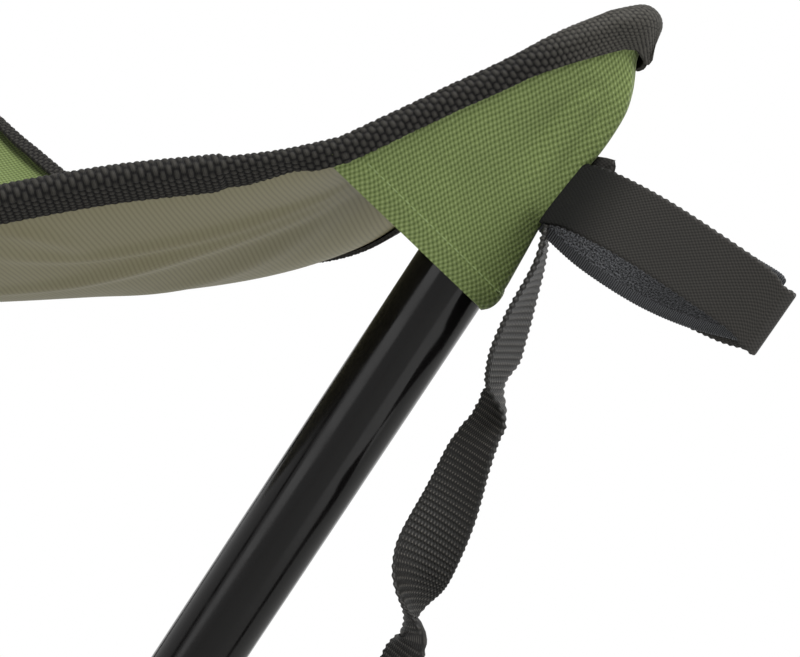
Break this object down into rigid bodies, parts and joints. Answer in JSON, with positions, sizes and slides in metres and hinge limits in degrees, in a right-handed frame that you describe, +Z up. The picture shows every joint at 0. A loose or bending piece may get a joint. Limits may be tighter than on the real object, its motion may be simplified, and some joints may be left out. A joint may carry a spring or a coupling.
{
  "type": "tripod stool",
  "caption": "Folding tripod stool: black coated tubes cross at a central hub and carry a green cloth sling seat with bound edges, corner pockets, a closure strap and a carrying strap.",
  "frame": {"origin": "on the floor, under the middle of the open stool's box, the hanging carrying strap left out", "axes": "+Z up; +X towards the seat corner with the straps; +Y to the left of someone looking along +X"},
  "size_m": [0.4364, 0.3786, 0.498],
  "materials": {
    "coated_tube": "gloss black powder coat on steel tube",
    "plug": "moulded polythene",
    "rubber": "matt moulded rubber",
    "nylon": "natural nylon",
    "steel": "bright zinc plate",
    "seat_cloth": "coated oxford weave, green above and taupe below",
    "pocket_cloth": "green oxford basket weave",
    "tape": "ribbed woven binding tape",
    "closure": "hook and loop tape with a satin back",
    "webbing": "ribbed flat webbing"
  },
  "bodies": {
    "seat_hub": {"pivot_hub": "steel", "pivot_washer_a": "steel", "pivot_washer_b": "steel", "pivot_washer_c": "steel", "pivot_nut_a": "steel", "pivot_nut_b": "steel", "pivot_nut_c": "steel", "seat_panel": "seat_cloth", "edge_binding": "tape"},
    "leg_a": {"leg_tube_a": "coated_tube", "top_plug_a": "plug", "foot_cap_a": "rubber", "pivot_bush_a": "nylon", "corner_pocket_a": "pocket_cloth", "carry_strap": "webbing", "carry_strap_loop": "webbing"},
    "leg_b": {"leg_tube_b": "coated_tube", "top_plug_b": "plug", "foot_cap_b": "rubber", "pivot_bush_b": "nylon", "corner_pocket_b": "pocket_cloth"},
    "leg_c": {"leg_tube_c": "coated_tube", "top_plug_c": "plug", "foot_cap_c": "rubber", "pivot_bush_c": "nylon", "corner_pocket_c": "pocket_cloth"},
    "closure_loop": {"closure_front_tape": "closure", "closure_back_tape": "closure"}
  },
  "joints": [
    {"name": "leg_a_fold", "type": "hinge", "parent": "seat_hub", "child": "leg_a", "pos_m": [-0.03569, 0.01847, 0.22001], "axis": [-0.095, -0.9955, 0], "range_deg": [0, 37], "deforming": ["seat_panel", "edge_binding", "corner_pocket_a", "corner_pocket_b", "corner_pocket_c", "carry_strap"]},
    {"name": "leg_b_fold", "type": "hinge", "parent": "seat_hub", "child": "leg_b", "pos_m": [-0.02234, -0.01076, 0.22001], "axis": [-0.8146, 0.58, 0], "range_deg": [0, 37], "deforming": ["seat_panel", "edge_binding", "corner_pocket_a", "corner_pocket_b", "corner_pocket_c", "carry_strap"]},
    {"name": "leg_c_fold", "type": "hinge", "parent": "seat_hub", "child": "leg_c", "pos_m": [-0.05432, -0.00771, 0.22001], "axis": [0.9096, 0.4155, 0], "range_deg": [0, 37], "deforming": ["seat_panel", "edge_binding", "corner_pocket_a", "corner_pocket_b", "corner_pocket_c", "carry_strap"]},
    {"name": "closure_strap_swing", "type": "hinge", "parent": "leg_a", "child": "closure_loop", "pos_m": [0.15322, 0.00044, 0.44452], "axis": [0.5991, -0.0572, 0.7986], "range_deg": [-50, 50]}
  ],
  "couplings": [
    {"joint": "leg_b_fold", "follows": "leg_a_fold", "ratio": 1},
    {"joint": "leg_c_fold", "follows": "leg_a_fold", "ratio": 1}
  ]
}
